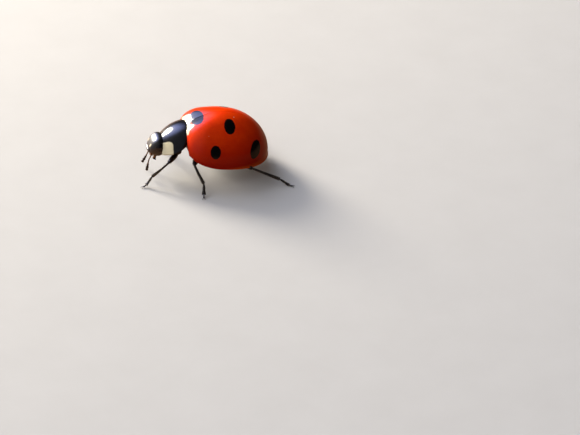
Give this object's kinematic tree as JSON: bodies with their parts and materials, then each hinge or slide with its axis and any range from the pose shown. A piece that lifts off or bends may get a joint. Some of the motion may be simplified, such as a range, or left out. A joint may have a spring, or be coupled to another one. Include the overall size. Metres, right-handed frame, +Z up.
{
  "type": "seven-spot ladybird",
  "caption": "Life-size spotted ladybird in a walking stance: domed wing cases, a shield behind a turned-down head, clubbed feelers and jointed legs standing on flat soles.",
  "frame": {"origin": "on the floor under the middle of the whole animal's box, feet and feelers included", "axes": "+X towards the head, +Y to the animal's left, +Z up"},
  "size_m": [0.0099, 0.0082, 0.0039],
  "materials": {
    "red_shell": "glossy orange-red wing case with round black spots",
    "black_shell": "glossy black body shell, cream at the shield's front corners",
    "black_leg": "satin black leg with short pale hairs",
    "eye": "black faceted eye",
    "brown_feeler": "dark brown feeler with a darker club"
  },
  "bodies": {
    "root": {"scutellum": "black_shell", "elytron_left": "red_shell", "elytron_right": "red_shell", "mesothorax": "black_shell", "metathorax": "black_shell", "abdomen": "black_shell", "pronotum": "black_shell", "prothorax": "black_shell", "eye_left": "eye", "eye_right": "eye", "labrum": "black_shell", "mandible_left": "black_shell", "mandible_right": "black_shell", "antenna_left": "brown_feeler", "antenna_right": "brown_feeler", "palp_left": "black_leg", "palp_right": "black_leg", "head": "black_shell", "fore_left_coxa": "black_leg", "fore_left_femur": "black_leg", "fore_left_tibia": "black_leg", "fore_left_tarsus": "black_leg", "fore_right_coxa": "black_leg", "fore_right_femur": "black_leg", "fore_right_tibia": "black_leg", "fore_right_tarsus": "black_leg", "mid_left_coxa": "black_leg", "mid_left_femur": "black_leg", "mid_left_tibia": "black_leg", "mid_left_tarsus": "black_leg", "mid_right_coxa": "black_leg", "mid_right_femur": "black_leg", "mid_right_tibia": "black_leg", "mid_right_tarsus": "black_leg", "hind_left_coxa": "black_leg", "hind_left_femur": "black_leg", "hind_left_tibia": "black_leg", "hind_left_tarsus": "black_leg", "hind_right_coxa": "black_leg", "hind_right_femur": "black_leg", "hind_right_tibia": "black_leg", "hind_right_tarsus": "black_leg"}
  },
  "joints": []
}
